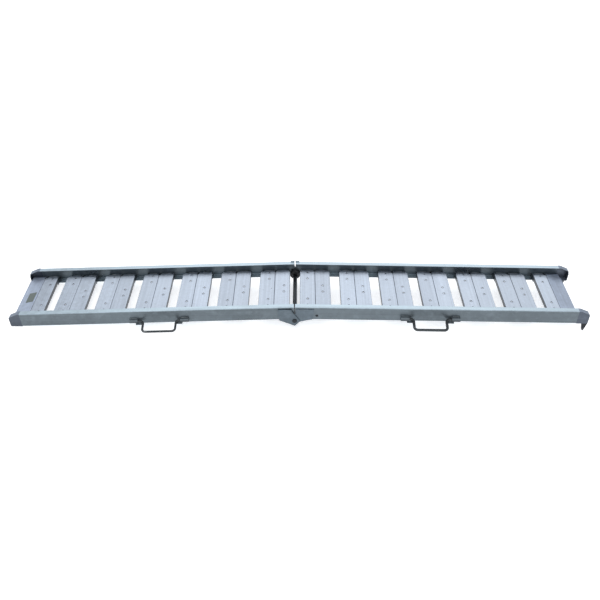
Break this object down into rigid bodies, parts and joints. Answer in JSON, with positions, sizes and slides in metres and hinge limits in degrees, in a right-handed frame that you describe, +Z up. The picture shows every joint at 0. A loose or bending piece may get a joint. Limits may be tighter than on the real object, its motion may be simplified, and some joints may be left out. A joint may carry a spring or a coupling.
{
  "type": "folding dog loading ramp",
  "caption": "Folding ladder-style loading ramp for a dog: galvanised steel rails with perforated treads, hinged at the middle, with carrying handles.",
  "frame": {"origin": "centre of the bounding box, on the ground that the open ramp stands on", "axes": "+X along the ramp from the lower section to the upper section, +Z up, the handles are on the -Y side"},
  "size_m": [2.109, 0.3558, 0.1048],
  "materials": {
    "galvanised_rail": "hot-dip galvanised, dull grey with a faint blue cast",
    "galvanised_tread": "galvanised sheet, pale and matt",
    "galvanised_end": "galvanised pressing, a little darker",
    "dark_zinc": "dark zinc-plated round bar",
    "dark_steel": "black oxide, satin",
    "black_plastic": "black moulded plastic",
    "label_film": "blank grey-green film"
  },
  "bodies": {
    "lower_section": {"lower_rail_near": "galvanised_rail", "lower_rail_far": "galvanised_rail", "lower_end_shoe_near": "galvanised_end", "lower_end_shoe_far": "galvanised_end", "lower_hinge_plate_near": "galvanised_rail", "lower_hinge_plate_far": "galvanised_rail", "lower_hinge_packer_near": "galvanised_rail", "lower_hinge_packer_far": "galvanised_rail", "hinge_guard_near": "black_plastic", "hinge_guard_far": "black_plastic", "lower_stop_lugs": "galvanised_rail", "lower_tread_01": "galvanised_tread", "lower_tread_02": "galvanised_tread", "lower_tread_03": "galvanised_tread", "lower_tread_04": "galvanised_tread", "lower_tread_05": "galvanised_tread", "lower_tread_06": "galvanised_tread", "lower_tread_07": "galvanised_tread", "lower_tread_08": "galvanised_tread", "lower_tread_09": "galvanised_tread", "lower_tread_10": "galvanised_tread", "lower_tread_11": "galvanised_tread", "lower_tread_12": "galvanised_tread", "lower_tread_13": "galvanised_tread", "lower_tread_14": "galvanised_tread", "lower_handle_sockets": "galvanised_rail", "blank_label": "label_film", "hinge_rod": "dark_steel", "hinge_cap": "dark_steel"},
    "upper_section": {"upper_rail_near": "galvanised_rail", "upper_rail_far": "galvanised_rail", "upper_end_shoe_near": "galvanised_end", "upper_end_shoe_far": "galvanised_end", "upper_hinge_plate_near": "galvanised_rail", "upper_hinge_plate_far": "galvanised_rail", "upper_hook_near": "dark_steel", "upper_hook_far": "dark_steel", "upper_stop_lugs": "galvanised_rail", "upper_rail_rivets": "galvanised_rail", "upper_tread_01": "galvanised_tread", "upper_tread_02": "galvanised_tread", "upper_tread_03": "galvanised_tread", "upper_tread_04": "galvanised_tread", "upper_tread_05": "galvanised_tread", "upper_tread_06": "galvanised_tread", "upper_tread_07": "galvanised_tread", "upper_tread_08": "galvanised_tread", "upper_tread_09": "galvanised_tread", "upper_tread_10": "galvanised_tread", "upper_tread_11": "galvanised_tread", "upper_tread_12": "galvanised_tread", "upper_tread_13": "galvanised_tread", "upper_tread_14": "galvanised_tread", "upper_handle_sockets": "galvanised_rail"},
    "lower_handle": {"lower_handle": "dark_zinc"},
    "upper_handle": {"upper_handle": "dark_zinc"}
  },
  "joints": [
    {"name": "fold_hinge", "type": "hinge", "parent": "lower_section", "child": "upper_section", "pos_m": [-0.01381, 0.02295, 0.04084], "axis": [0, 1, 0], "range_deg": [0, 176.9]},
    {"name": "lower_handle_swing", "type": "hinge", "parent": "lower_section", "child": "lower_handle", "pos_m": [-0.50565, -0.12655, 0.03778], "axis": [-0.999, 0, -0.0438], "range_deg": [0, 105]},
    {"name": "upper_handle_swing", "type": "hinge", "parent": "upper_section", "child": "upper_handle", "pos_m": [0.47785, -0.12755, 0.0543], "axis": [-0.9999, 0, 0.0103], "range_deg": [0, 105]}
  ]
}
